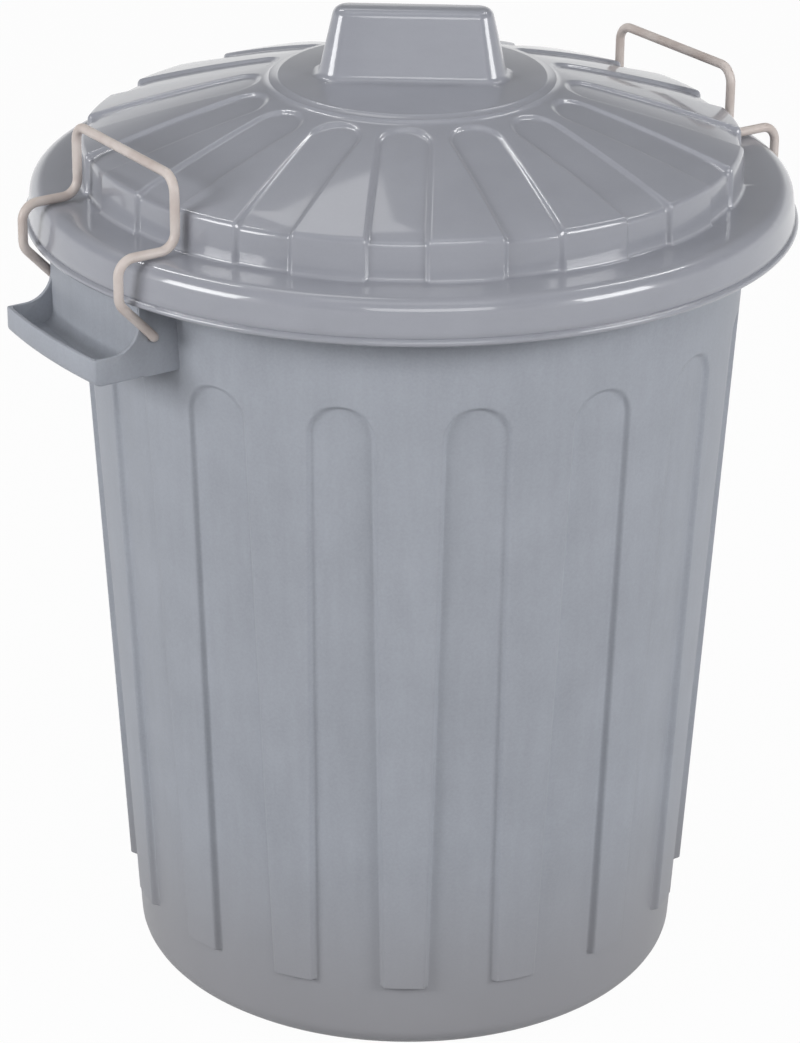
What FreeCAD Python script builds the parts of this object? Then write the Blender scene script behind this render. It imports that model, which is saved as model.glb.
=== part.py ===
import FreeCAD, Part
import math
import os

import Sketcher

# Round waste bin with two wire clamps over the lid.
# Frame: origin at the centre of the base, +Z up, the two handles on -X and +X.

doc = FreeCAD.newDocument("clamp_lid_bin")
sheet = doc.addObject("Spreadsheet::Sheet", "sizes")

# Driving sizes in millimetres, degrees and counts
SIZES = (
    # tub wall and base
    ("wall_foot_radius", 174.1),
    ("wall_taper", 3.13),
    ("tub_height", 504.0),
    ("tub_wall", 2.0),
    ("base_corner", 15.0),
    ("base_recess", 6.0),
    ("standing_ring", 12.0),
    ("recess_slope", 8.0),
    # flutes of the tub
    ("flute_count", 16),
    ("flute_foot", 47.6),
    ("flute_apex", 431.0),
    ("flute_foot_width", 41.2),
    ("flute_top_width", 35.6),
    ("flute_foot_depth", 4.4),
    ("flute_top_depth", 2.6),
    ("flute_draft", 35.0),
    ("flute_overcut", 3.0),
    # rim of the tub
    ("flange_width", 20.8),
    ("rim_wall", 2.5),
    ("rim_drop", 20.0),
    ("rim_corner", 6.0),
    # handles
    ("handle_width", 104.4),
    ("handle_gap", 29.4),
    ("handle_depth", 16.0),
    ("handle_corner", 5.0),
    ("handle_sweep", 17.0),
    ("pocket_width", 23.4),
    # lid
    ("lid_wall", 2.3),
    ("rim_clearance", 1.7),
    ("band_height", 24.9),
    ("band_flare", 1.7),
    ("band_corner", 9.0),
    ("lip_overhang", 1.8),
    ("lip_height", 3.6),
    ("skirt_inset", 5.0),
    ("skirt_height", 23.7),
    ("skirt_lean", 0.7),
    ("dome_rise", 31.7),
    ("disc_radius", 79.5),
    ("disc_step_width", 5.5),
    ("disc_step_height", 3.3),
    ("lid_turn", -35.95),
    # flutes of the lid
    ("lid_flute_count", 16),
    ("lid_flute_depth", 2.4),
    ("lid_flute_reach", 91.0),
    ("lid_flute_inner_width", 30.0),
    ("lid_flute_outer_width", 33.6),
    # grip of the lid
    ("grip_length", 111.0),
    ("grip_thickness", 38.0),
    ("grip_height", 40.6),
    ("grip_draft", 13.0),
    ("grip_bevel", 3.0),
    # clamps
    ("wire_diameter", 5.6),
    ("pivot_clearance", 0.4),
    ("side_clearance", 1.0),
    ("pin_length", 12.0),
    ("pivot_bend", 3.4),
    ("pivot_drop", 21.9),
    ("pivot_inset", 14.5),
    ("clamp_gap", 5.1),
    ("clamp_low_rise", 2.6),
    ("clamp_lift", 0.6),
    ("skirt_gap", 3.1),
    ("clamp_height", 42.0),
    ("wire_bend", 7.5),
    ("wire_sides", 12),
)

# Sizes worked out from the driving ones
FORMULAS = (
    # tub wall and base
    ("taper_rate", "tan(wall_taper)"),
    ("wall_top_radius", "wall_foot_radius + tub_height * taper_rate"),
    ("land_foot_radius", "wall_foot_radius + flute_foot * taper_rate"),
    ("floor_rate", "taper_rate + (flute_foot_depth - flute_top_depth) / (flute_apex - flute_foot)"),
    ("floor_foot_radius", "land_foot_radius - flute_foot_depth - flute_foot * floor_rate"),
    ("floor_top_radius", "floor_foot_radius + tub_height * floor_rate"),
    ("ring_outer_radius", "floor_foot_radius - base_corner"),
    ("ring_inner_radius", "ring_outer_radius - standing_ring"),
    ("recess_radius", "ring_inner_radius - recess_slope"),
    # base corner in three chords of a round, each a third of a right angle
    ("corner_low_radius", "ring_outer_radius + base_corner * sin(30)"),
    ("corner_low_height", "base_corner * (1 - cos(30))"),
    ("corner_high_radius", "ring_outer_radius + base_corner * sin(60) + corner_high_height * floor_rate"),
    ("corner_high_height", "base_corner * (1 - cos(60))"),
    ("corner_top_radius", "floor_foot_radius + base_corner * floor_rate"),
    # inside of the tub
    ("inside_recess", "base_recess + tub_wall"),
    ("inside_corner_radius", "corner_top_radius - tub_wall"),
    ("inside_ring_radius", "ring_outer_radius"),
    ("inside_top", "tub_height + tub_wall"),
    ("inside_top_radius", "floor_foot_radius + inside_top * floor_rate - tub_wall"),
    # lands between the flutes, sunk into the wall behind them
    ("land_back_foot", "floor_foot_radius + flute_foot * floor_rate - tub_wall / 2"),
    ("land_back_top", "floor_top_radius - tub_wall / 2"),
    # flute outlines on a plane that leans with the wall, behind the flute's floor
    ("flute_plane_depth", "flute_foot_depth + flute_overcut"),
    ("flute_plane_offset", "(wall_foot_radius - flute_plane_depth) * cos(wall_taper)"),
    ("flute_narrowing", "flute_plane_depth * tan(flute_draft)"),
    ("flute_foot_half", "flute_foot_width / 2 - flute_narrowing"),
    ("flute_arch_radius", "flute_top_width / 2 - flute_narrowing"),
    ("flute_low_end", "flute_foot / 2"),
    ("flute_spring", "flute_apex / cos(wall_taper) - flute_narrowing - flute_arch_radius"),
    ("flute_cut", "flute_plane_depth + flute_overcut"),
    # rim of the tub
    ("rim_radius", "wall_top_radius + flange_width"),
    ("rim_inner_radius", "rim_radius - rim_wall"),
    ("rim_under", "tub_height - rim_wall"),
    ("rim_foot", "tub_height - rim_drop"),
    ("rim_shoulder_radius", "rim_radius - rim_corner"),
    ("rim_shoulder_height", "tub_height - rim_corner"),
    ("rim_inner_bevel", "rim_corner - rim_wall * (2 - sqrt(2))"),
    ("rim_inner_shoulder_radius", "rim_inner_radius - rim_inner_bevel"),
    ("rim_inner_shoulder_height", "rim_under - rim_inner_bevel"),
    ("wall_under_radius", "wall_foot_radius + rim_under * taper_rate"),
    # lid
    ("lid_seat", "tub_height"),
    ("flange_top", "lid_seat + lid_wall"),
    ("lip_foot", "flange_top - band_height"),
    ("lip_top", "lip_foot + lip_height"),
    ("band_top_radius", "rim_radius + rim_clearance + lid_wall"),
    ("band_foot_radius", "band_top_radius + band_flare"),
    ("lip_radius", "band_foot_radius + lip_overhang"),
    # outer corner of the lid's rim in two chords of a round, each half a right angle
    ("band_crest_radius", "band_top_radius - band_corner"),
    ("band_corner_radius", "band_crest_radius + band_corner * sin(45)"),
    ("band_corner_height", "flange_top - band_corner * (1 - cos(45))"),
    ("band_shoulder_height", "flange_top - band_corner"),
    ("skirt_radius", "wall_top_radius - skirt_inset"),
    ("shoulder_radius", "skirt_radius - skirt_lean"),
    ("shoulder_height", "flange_top + skirt_height"),
    ("dome_inner_radius", "disc_radius + disc_step_width"),
    ("dome_inner_height", "shoulder_height + dome_rise"),
    ("disc_height", "dome_inner_height + disc_step_height"),
    # floor of the lid's flutes
    ("sunk_skirt_radius", "skirt_radius - lid_flute_depth"),
    ("sunk_shoulder_radius", "shoulder_radius - lid_flute_depth"),
    ("sunk_shoulder_height", "shoulder_height - lid_flute_depth"),
    ("sunk_dome_height", "dome_inner_height - lid_flute_depth"),
    # underside of the lid
    ("under_lip", "lip_foot - lid_wall"),
    ("under_band_foot", "band_foot_radius - lid_wall"),
    ("under_band_top", "band_top_radius - lid_wall"),
    ("under_crest_radius", "band_crest_radius"),
    ("under_skirt_radius", "sunk_skirt_radius - lid_wall"),
    ("under_shoulder_radius", "sunk_shoulder_radius - lid_wall"),
    ("under_shoulder_height", "sunk_shoulder_height - lid_wall"),
    ("under_dome_height", "sunk_dome_height - lid_wall"),
    ("under_disc_height", "disc_height - lid_wall"),
    ("under_disc_radius", "disc_radius - lid_wall"),
    # lands of the lid, sunk into the flute floor behind them
    ("land_lap", "lid_wall / 2"),
    ("lid_land_low", "flange_top - land_lap"),
    ("lid_land_skirt_back", "sunk_skirt_radius - land_lap"),
    ("lid_land_shoulder_back", "sunk_shoulder_radius - land_lap"),
    ("lid_land_shoulder_low", "sunk_shoulder_height - land_lap"),
    ("lid_land_dome_low", "sunk_dome_height - land_lap"),
    # flute outlines of the lid, seen from above
    ("lid_flute_arch", "lid_flute_inner_width / 2"),
    ("lid_flute_spring", "lid_flute_reach + lid_flute_arch"),
    ("lid_flute_end", "skirt_radius + lid_flute_depth"),
    ("lid_flute_end_half", "lid_flute_outer_width / 2"),
    ("lid_flute_cut", "disc_height - lid_land_low"),
    # grip of the lid
    ("grip_half_length", "grip_length / 2"),
    ("grip_half_thickness", "grip_thickness / 2"),
    ("grip_hollow_half_length", "grip_half_length - lid_wall / cos(grip_draft)"),
    ("grip_hollow_half_thickness", "grip_half_thickness - lid_wall / cos(grip_draft)"),
    ("grip_root", "disc_height - lid_wall / 2"),
    ("grip_rise", "grip_height + lid_wall / 2"),
    ("grip_hollow_root", "under_disc_height - lid_wall / 2"),
    # handles
    ("handle_half_width", "handle_width / 2"),
    ("handle_top", "lip_foot - handle_gap"),
    ("handle_foot", "handle_top - handle_depth"),
    ("handle_reach", "rim_radius + pocket_width + rim_wall"),
    ("handle_root", "floor_foot_radius"),
    ("plate_reach", "sqrt(rim_radius * rim_radius - handle_half_width * handle_half_width)"),
    ("plate_back", "sqrt(rim_inner_radius * rim_inner_radius - handle_half_width * handle_half_width)"),
    ("plate_crest_radius", "rim_radius - rim_under + rim_shoulder_height"),
    ("plate_crest", "sqrt(plate_crest_radius * plate_crest_radius - handle_half_width * handle_half_width)"),
    ("sweep_reach", "plate_reach + handle_sweep"),
    ("sweep_height", "handle_top + handle_sweep"),
    ("pocket_half_width", "handle_half_width - rim_wall"),
    ("pocket_floor", "handle_foot + rim_wall"),
    ("pocket_reach", "handle_reach - rim_wall"),
    ("pocket_rise", "tub_height - pocket_floor"),
    ("pocket_wall_reach", "sqrt(rim_radius * rim_radius - pocket_half_width * pocket_half_width)"),
    ("pocket_corner", "handle_corner - rim_wall * (2 - sqrt(2))"),
    ("hollow_reach", "sqrt(rim_inner_radius * rim_inner_radius - pocket_half_width * pocket_half_width)"),
    ("hollow_rise", "rim_under - handle_foot"),
    ("inner_wall_rise", "rim_shoulder_height - handle_foot"),
    # clamps
    ("wire_radius", "wire_diameter / 2"),
    ("pivot_reach", "rim_radius - pivot_inset"),
    ("pivot_height", "lip_foot - pivot_drop"),
    ("pivot_hole_radius", "wire_radius + pivot_clearance"),
    ("clamp_half_span", "handle_half_width + side_clearance + wire_radius"),
    ("pin_end", "clamp_half_span - pin_length"),
    ("lip_reach", "sqrt(lip_radius * lip_radius - clamp_half_span * clamp_half_span)"),
    ("clamp_outer", "lip_reach + clamp_gap + wire_radius"),
    ("clamp_low", "lip_foot + clamp_low_rise"),
    ("clamp_over", "flange_top + clamp_lift + wire_radius"),
    ("skirt_reach", "sqrt(skirt_radius * skirt_radius - clamp_half_span * clamp_half_span)"),
    ("clamp_inner", "skirt_reach + skirt_gap + wire_radius"),
    ("clamp_top", "clamp_over + clamp_height"),
)


def fill_sheet():
    """Write the driving sizes, then the formulas, each cell with its alias."""
    row = 0
    for name, value in SIZES:
        row += 1
        sheet.set("A%d" % row, name)
        sheet.set("B%d" % row, str(value))
        sheet.setAlias("B%d" % row, name)
    doc.recompute()
    for name, formula in FORMULAS:
        row += 1
        sheet.set("A%d" % row, name)
        sheet.set("B%d" % row, "=" + formula)
        sheet.setAlias("B%d" % row, name)
        doc.recompute()


def size(name):
    """Value of a cell. A leading minus sign turns it round, and "0" is nought."""
    if name == "0":
        return 0.0
    if name.startswith("-"):
        return -float(sheet.get(name[1:]))
    return float(sheet.get(name))


def tie(thing, prop, name):
    """Bind a property to a cell."""
    if name.startswith("-"):
        thing.setExpression(prop, "-sizes." + name[1:])
    else:
        thing.setExpression(prop, "sizes." + name)


def plane_of(body, role):
    """Origin plane or axis of a body, by its role."""
    return next(item for item in body.Origin.OriginFeatures if item.Role == role)


def arc_between(start, end, turns_left, axis, level):
    """Arc from start to end, turning left or right, whose centre lies at a level across (x) or up (y)."""
    middle = (start + end) * 0.5
    chord = end - start
    left = FreeCAD.Vector(-chord.y, chord.x, 0).normalize()
    if axis == "x":
        centre = middle + left * ((level - middle.x) / left.x)
    else:
        centre = middle + left * ((level - middle.y) / left.y)
    circle = Part.Circle(centre, FreeCAD.Vector(0, 0, 1), (start - centre).Length)
    first, last = (start, end) if turns_left else (end, start)
    return Part.ArcOfCircle(circle, circle.parameter(first), circle.parameter(last))


def hold(sketch, side, point, axis, name):
    """Hold a point of a sketch at a cell, across (x) or up (y) from the origin."""
    if name == "0":
        sketch.addConstraint(Sketcher.Constraint("PointOnObject", side, point, -2 if axis == "x" else -1))
        return
    kind = "DistanceX" if axis == "x" else "DistanceY"
    sketch.addConstraint(Sketcher.Constraint(kind, -1, 1, side, point, size(name)))
    tie(sketch, "Constraints[%d]" % (sketch.ConstraintCount - 1), name)


def outline(body, name, role, corners):
    """Closed outline on an origin plane, with every corner held at two cells.

    A corner is (across, up). With three further items, "left" or "right", "x" or "y" and a cell,
    the side that leaves the corner is an arc that turns that way, with its centre at that cell.
    """
    sketch = body.newObject("Sketcher::SketchObject", name)
    sketch.AttachmentSupport = [(plane_of(body, role), "")]
    sketch.MapMode = "FlatFace"
    points = [FreeCAD.Vector(size(corner[0]), size(corner[1]), 0) for corner in corners]
    sides = []
    for here, there, corner in zip(points, points[1:] + points[:1], corners):
        if len(corner) == 2:
            sides.append((sketch.addGeometry(Part.LineSegment(here, there), False), 1, 2))
            continue
        turns_left = corner[2] == "left"
        arc = sketch.addGeometry(arc_between(here, there, turns_left, corner[3], size(corner[4])), False)
        hold(sketch, arc, 3, corner[3], corner[4])
        sides.append((arc, 1, 2) if turns_left else (arc, 2, 1))
    for index, (side, start, _) in enumerate(sides):
        last_side, _, last_end = sides[index - 1]
        sketch.addConstraint(Sketcher.Constraint("Coincident", last_side, last_end, side, start))
        hold(sketch, side, start, "x", corners[index][0])
        hold(sketch, side, start, "y", corners[index][1])
    return sketch


def new_body(name):
    """Empty body."""
    return doc.addObject("PartDesign::Body", name)


def revolve(body, name, corners):
    """Solid of revolution about +Z from an outline in the XZ plane."""
    sketch = outline(body, name + "_outline", "XZ_Plane", corners)
    turned = body.newObject("PartDesign::Revolution", name)
    turned.Profile = sketch
    turned.ReferenceAxis = (sketch, ["V_Axis"])
    turned.Angle = 360.0
    doc.recompute()
    return turned


def bevel_edges(body, name, feature, width, wanted):
    """Bevel the edges of a feature that a test picks out."""
    names = ["Edge%d" % (at + 1) for at, edge in enumerate(feature.Shape.Edges) if wanted(edge)]
    bevel = body.newObject("PartDesign::Chamfer", name)
    bevel.Base = (feature, names)
    tie(bevel, "Size", width)
    doc.recompute()


def repeat_round(body, name, feature, count):
    """Repeat a feature about +Z."""
    pattern = body.newObject("PartDesign::PolarPattern", name)
    pattern.Originals = [feature]
    pattern.Axis = (plane_of(body, "Z_Axis"), [""])
    pattern.Angle = 360.0
    tie(pattern, "Occurrences", count)
    body.Tip = pattern
    doc.recompute()
    return pattern


def fuse(name, pieces):
    """Union of solids."""
    union = doc.addObject("Part::MultiFuse", name)
    union.Shapes = pieces
    union.Refine = True
    doc.recompute()
    return union


def cut(name, base, tool):
    """Base without the tool."""
    rest = doc.addObject("Part::Cut", name)
    rest.Base = base
    rest.Tool = tool
    rest.Refine = True
    doc.recompute()
    return rest


def cut_wall_flutes(body):
    """Cut the tub's arch-topped flutes through the lands, on a plane that leans with the wall."""
    sketch = outline(body, "tub_flute_outline", "YZ_Plane", (
        ("-flute_foot_half", "flute_low_end"),
        ("flute_foot_half", "flute_low_end"),
        ("flute_arch_radius", "flute_spring", "left", "y", "flute_spring"),
        ("-flute_arch_radius", "flute_spring"),
    ))
    lean = FreeCAD.Rotation(FreeCAD.Vector(1, 0, 0), size("wall_taper"))
    sketch.AttachmentOffset = FreeCAD.Placement(FreeCAD.Vector(), lean)
    tie(sketch, "AttachmentOffset.Base.z", "flute_plane_offset")
    tie(sketch, "AttachmentOffset.Rotation.Angle", "wall_taper")
    flute = body.newObject("PartDesign::Pocket", "tub_flute")
    flute.Profile = sketch
    flute.Reversed = True
    tie(flute, "Length", "flute_cut")
    tie(flute, "TaperAngle", "flute_draft")
    doc.recompute()
    repeat_round(body, "tub_flutes", flute, "flute_count")


def make_tub():
    """Fluted, tapered tub with its rim and two handles."""
    core = new_body("tub_core")
    revolve(core, "tub_core_form", (
        ("0", "base_recess"),
        ("recess_radius", "base_recess"),
        ("ring_inner_radius", "0"),
        ("ring_outer_radius", "0"),
        ("corner_low_radius", "corner_low_height"),
        ("corner_high_radius", "corner_high_height"),
        ("corner_top_radius", "base_corner"),
        ("floor_top_radius", "tub_height"),
        ("0", "tub_height"),
    ))

    lands = new_body("tub_lands")
    revolve(lands, "tub_lands_form", (
        ("land_back_foot", "flute_foot"),
        ("land_foot_radius", "flute_foot"),
        ("wall_under_radius", "rim_under"),
        ("rim_inner_shoulder_radius", "rim_under"),
        ("rim_inner_radius", "rim_inner_shoulder_height"),
        ("rim_inner_radius", "rim_foot"),
        ("rim_radius", "rim_foot"),
        ("rim_radius", "rim_shoulder_height"),
        ("rim_shoulder_radius", "tub_height"),
        ("land_back_top", "tub_height"),
    ))
    cut_wall_flutes(lands)

    hollow = new_body("tub_hollow")
    revolve(hollow, "tub_hollow_form", (
        ("0", "inside_recess"),
        ("inside_ring_radius", "inside_recess"),
        ("inside_corner_radius", "base_corner"),
        ("inside_top_radius", "inside_top"),
        ("0", "inside_top"),
    ))

    outside = fuse("tub_outside", [core, lands, make_handle("left", 180.0), make_handle("right", 0.0)])
    return cut("tub", outside, hollow)


def make_handle(side, turn):
    """Moulded handle: side plates, inner wall, outer gutter and a hollow that is open below."""
    body = new_body(side + "_handle")
    sketch = outline(body, side + "_handle_outline", "XZ_Plane", (
        ("handle_root", "handle_foot"),
        ("handle_reach", "handle_foot"),
        ("handle_reach", "handle_top"),
        ("sweep_reach", "handle_top", "right", "x", "sweep_reach"),
        ("plate_reach", "sweep_height"),
        ("plate_reach", "rim_shoulder_height"),
        ("plate_crest", "rim_under"),
        ("handle_root", "rim_under"),
    ))
    block = body.newObject("PartDesign::Pad", side + "_handle_block")
    block.Profile = sketch
    block.SideType = "Symmetric"
    tie(block, "Length", "handle_width")
    doc.recompute()

    sketch = outline(body, side + "_gutter_outline", "XY_Plane", (
        ("pocket_wall_reach", "-pocket_half_width"),
        ("pocket_reach", "-pocket_half_width"),
        ("pocket_reach", "pocket_half_width"),
        ("pocket_wall_reach", "pocket_half_width", "right", "x", "0"),
    ))
    tie(sketch, "AttachmentOffset.Base.z", "pocket_floor")
    gutter = body.newObject("PartDesign::Pocket", side + "_gutter")
    gutter.Profile = sketch
    gutter.Reversed = True
    tie(gutter, "Length", "pocket_rise")
    doc.recompute()

    def gutter_floor_edge(edge):
        box = edge.BoundBox
        return abs(box.XMin - size("pocket_reach")) < 0.01 and abs(box.ZMax - size("pocket_floor")) < 0.01

    bevel_edges(body, side + "_gutter_floor_bevel", gutter, "pocket_corner", gutter_floor_edge)

    def low_outer_edge(edge):
        box = edge.BoundBox
        return abs(box.XMin - size("handle_reach")) < 0.01 and abs(box.ZMax - size("handle_foot")) < 0.01

    bevel_edges(body, side + "_gutter_bevel", body.Tip, "handle_corner", low_outer_edge)

    sketch = outline(body, side + "_hollow_outline", "XY_Plane", (
        ("handle_root", "-pocket_half_width"),
        ("hollow_reach", "-pocket_half_width", "left", "x", "0"),
        ("hollow_reach", "pocket_half_width"),
        ("handle_root", "pocket_half_width"),
    ))
    tie(sketch, "AttachmentOffset.Base.z", "handle_foot")
    hollow = body.newObject("PartDesign::Pocket", side + "_finger_hollow")
    hollow.Profile = sketch
    hollow.Reversed = True
    tie(hollow, "Length", "hollow_rise")
    doc.recompute()

    sketch = outline(body, side + "_inner_wall_outline", "XY_Plane", (
        ("plate_back", "-handle_half_width", "left", "x", "0"),
        ("plate_back", "handle_half_width"),
        ("plate_reach", "handle_half_width", "right", "x", "0"),
        ("plate_reach", "-handle_half_width"),
    ))
    tie(sketch, "AttachmentOffset.Base.z", "handle_foot")
    wall = body.newObject("PartDesign::Pad", side + "_inner_wall")
    wall.Profile = sketch
    tie(wall, "Length", "inner_wall_rise")
    doc.recompute()

    sketch = body.newObject("Sketcher::SketchObject", side + "_pivot_outline")
    sketch.AttachmentSupport = [(plane_of(body, "XZ_Plane"), "")]
    sketch.MapMode = "FlatFace"
    centre = FreeCAD.Vector(size("pivot_reach"), size("pivot_height"), 0)
    ring = Part.Circle(centre, FreeCAD.Vector(0, 0, 1), size("pivot_hole_radius"))
    hole = sketch.addGeometry(ring, False)
    hold(sketch, hole, 3, "x", "pivot_reach")
    hold(sketch, hole, 3, "y", "pivot_height")
    sketch.addConstraint(Sketcher.Constraint("Radius", hole, size("pivot_hole_radius")))
    tie(sketch, "Constraints[%d]" % (sketch.ConstraintCount - 1), "pivot_hole_radius")
    bore = body.newObject("PartDesign::Pocket", side + "_pivot_holes")
    bore.Profile = sketch
    bore.SideType = "Symmetric"
    tie(bore, "Length", "handle_width")
    doc.recompute()

    body.Placement = FreeCAD.Placement(FreeCAD.Vector(), FreeCAD.Rotation(FreeCAD.Vector(0, 0, 1), turn))
    return body


def cut_lid_flutes(body):
    """Cut the lid's round-ended flutes through its lands from above."""
    sketch = outline(body, "lid_flute_outline", "XY_Plane", (
        ("lid_flute_spring", "-lid_flute_arch"),
        ("lid_flute_end", "-lid_flute_end_half"),
        ("lid_flute_end", "lid_flute_end_half"),
        ("lid_flute_spring", "lid_flute_arch", "left", "x", "lid_flute_spring"),
    ))
    tie(sketch, "AttachmentOffset.Base.z", "lid_land_low")
    flute = body.newObject("PartDesign::Pocket", "lid_flute")
    flute.Profile = sketch
    flute.Reversed = True
    tie(flute, "Length", "lid_flute_cut")
    doc.recompute()
    repeat_round(body, "lid_flutes", flute, "lid_flute_count")


def make_grip(name, root, half_length, half_thickness):
    """Tapered block, for the grip's outside and for its hollow."""
    body = new_body(name)
    sketch = outline(body, name + "_outline", "XY_Plane", (
        ("-" + half_length, "-" + half_thickness),
        (half_length, "-" + half_thickness),
        (half_length, half_thickness),
        ("-" + half_length, half_thickness),
    ))
    tie(sketch, "AttachmentOffset.Base.z", root)
    block = body.newObject("PartDesign::Pad", name + "_block")
    block.Profile = sketch
    tie(block, "Length", "grip_rise")
    tie(block, "TaperAngle", "-grip_draft")
    doc.recompute()
    return body


def make_lid():
    """Lid with a deep rim, fluted dome, raised disc and hollow grip."""
    core = new_body("lid_core")
    revolve(core, "lid_core_form", (
        ("0", "lip_foot"),
        ("lip_radius", "lip_foot"),
        ("lip_radius", "lip_top"),
        ("band_foot_radius", "lip_top"),
        ("band_top_radius", "band_shoulder_height"),
        ("band_corner_radius", "band_corner_height"),
        ("band_crest_radius", "flange_top"),
        ("sunk_skirt_radius", "flange_top"),
        ("sunk_shoulder_radius", "sunk_shoulder_height"),
        ("dome_inner_radius", "sunk_dome_height"),
        ("dome_inner_radius", "dome_inner_height"),
        ("disc_radius", "disc_height"),
        ("0", "disc_height"),
    ))

    lands = new_body("lid_lands")
    revolve(lands, "lid_lands_form", (
        ("lid_land_skirt_back", "lid_land_low"),
        ("skirt_radius", "lid_land_low"),
        ("shoulder_radius", "shoulder_height"),
        ("dome_inner_radius", "dome_inner_height"),
        ("dome_inner_radius", "lid_land_dome_low"),
        ("lid_land_shoulder_back", "lid_land_shoulder_low"),
    ))
    cut_lid_flutes(lands)

    under = new_body("lid_under")
    revolve(under, "lid_under_form", (
        ("0", "under_lip"),
        ("under_band_foot", "under_lip"),
        ("under_band_top", "band_shoulder_height"),
        ("under_crest_radius", "lid_seat"),
        ("under_skirt_radius", "lid_seat"),
        ("under_shoulder_radius", "under_shoulder_height"),
        ("dome_inner_radius", "under_dome_height"),
        ("under_disc_radius", "under_disc_height"),
        ("0", "under_disc_height"),
    ))

    def above_root(edge):
        return edge.BoundBox.ZMax > size("grip_root") + size("lid_wall")

    grip = make_grip("grip", "grip_root", "grip_half_length", "grip_half_thickness")
    bevel_edges(grip, "grip_edges", grip.Tip, "grip_bevel", above_root)
    grip_hollow = make_grip("grip_hollow", "grip_hollow_root", "grip_hollow_half_length",
                            "grip_hollow_half_thickness")
    outside = fuse("lid_outside", [core, lands, grip])
    inside = fuse("lid_inside", [under, grip_hollow])
    lid = cut("lid", outside, inside)
    tie(lid, "Placement.Rotation.Angle", "lid_turn")
    return lid


def bent_wire(corners, bends):
    """Wire of straight runs through the corners, with each inner corner turned in two equal steps."""
    points = [corners[0]]
    for before, corner, after, bend in zip(corners, corners[1:], corners[2:], bends):
        back = (before - corner).normalize()
        ahead = (after - corner).normalize()
        turn = math.pi - back.getAngle(ahead)
        # the runs and the short side between them all touch the round of the bend
        reach = bend * (math.tan(turn / 2) - math.tan(turn / 4))
        points.append(corner + back * reach)
        points.append(corner + ahead * reach)
    points.append(corners[-1])
    return Part.makePolygon(points)


def make_clamp(name, side):
    """Bent wire clamp: two pins, two hooked legs over the lid's rim and a bar between them."""
    span = size("clamp_half_span")
    leg = (
        (size("pivot_reach"), size("pin_end"), size("pivot_height")),
        (size("pivot_reach"), span, size("pivot_height")),
        (size("clamp_outer"), span, size("clamp_low")),
        (size("clamp_outer"), span, size("clamp_over")),
        (size("clamp_inner"), span, size("clamp_over")),
        (size("clamp_inner"), span, size("clamp_top")),
    )
    leg_bends = [size("pivot_bend")] + [size("wire_bend")] * (len(leg) - 2)
    corners = [FreeCAD.Vector(side * x, side * y, z) for x, y, z in leg]
    corners += [FreeCAD.Vector(side * x, -side * y, z) for x, y, z in reversed(leg)]
    path = doc.addObject("Part::Feature", name + "_path")
    path.Shape = bent_wire(corners, leg_bends + leg_bends[::-1])
    section = doc.addObject("Part::RegularPolygon", name + "_section")
    tie(section, "Circumradius", "wire_radius")
    tie(section, "Polygon", "wire_sides")
    section.Placement = FreeCAD.Placement(
        corners[0], FreeCAD.Rotation(FreeCAD.Vector(0, 0, 1), corners[1] - corners[0])
    )
    clamp = doc.addObject("Part::Sweep", name)
    clamp.Sections = [section]
    clamp.Spine = path
    clamp.Solid = True
    clamp.Transition = "Right corner"
    doc.recompute()
    return clamp


def check(nodes):
    """Stop if any object failed or any sub-part has no sound solid."""
    for item in doc.Objects:
        if "Invalid" in item.State or "Error" in item.State:
            raise RuntimeError("%s failed: %s" % (item.Name, item.State))
    for node in nodes:
        if node.Shape.isNull() or not node.Shape.isValid():
            raise RuntimeError("%s has no sound shape" % node.Label)
        if len(node.Shape.Solids) != 1:
            raise RuntimeError("%s has %d solids" % (node.Label, len(node.Shape.Solids)))


fill_sheet()
nodes = [make_tub(), make_lid(), make_clamp("left_clamp", -1), make_clamp("right_clamp", 1)]
check(nodes)
os.makedirs("parts", exist_ok=True)
for node in nodes:
    node.Shape.exportStep("parts/%s.step" % node.Label)
    box = node.Shape.BoundBox
    print("%s: volume %.0f, x %.1f..%.1f, y %.1f..%.1f, z %.1f..%.1f" % (
        node.Label, node.Shape.Volume, box.XMin, box.XMax, box.YMin, box.YMax, box.ZMin, box.ZMax))
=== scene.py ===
import logging
import math
from dataclasses import dataclass
from enum import Enum

import bmesh
import bpy
from bmesh.types import BMesh, BMEdge, BMFace, BMVert
from bpy.types import Material, Node, NodeSocket, NodeTree
from mathutils import Matrix, Vector


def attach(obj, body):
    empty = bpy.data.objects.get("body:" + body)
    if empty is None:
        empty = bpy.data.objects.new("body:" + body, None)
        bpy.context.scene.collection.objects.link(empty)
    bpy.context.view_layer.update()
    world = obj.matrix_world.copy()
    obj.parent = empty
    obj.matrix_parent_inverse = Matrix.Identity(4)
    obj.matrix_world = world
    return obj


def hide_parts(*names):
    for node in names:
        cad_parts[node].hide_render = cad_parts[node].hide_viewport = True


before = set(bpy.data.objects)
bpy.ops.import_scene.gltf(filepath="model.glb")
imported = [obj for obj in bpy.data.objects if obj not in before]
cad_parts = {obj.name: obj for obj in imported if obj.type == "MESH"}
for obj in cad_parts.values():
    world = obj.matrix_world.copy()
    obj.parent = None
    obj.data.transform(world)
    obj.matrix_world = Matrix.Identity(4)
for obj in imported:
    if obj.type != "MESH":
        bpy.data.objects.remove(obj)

# Round waste bin with two wire clamps over its lid. The bin's sizes are in millimetres until a mesh is
# placed. Camera, floor and lamps are in metres.

MM = 0.001
UP = Vector((0.0, 0.0, 1.0))
MEETING = 1e-3  # corners that lie closer than this are one
PLASTIC_IOR = 1.5
PIVOT = (207.96, 459.5)  # where a clamp swings, as distance out and height
LOG = logging.getLogger("bin")

Point = tuple[float, float]
Row = tuple[Point, Point]
Colour = tuple[float, float, float]
Inputs = dict[str | int, NodeSocket | float | tuple[float, ...]]


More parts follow.
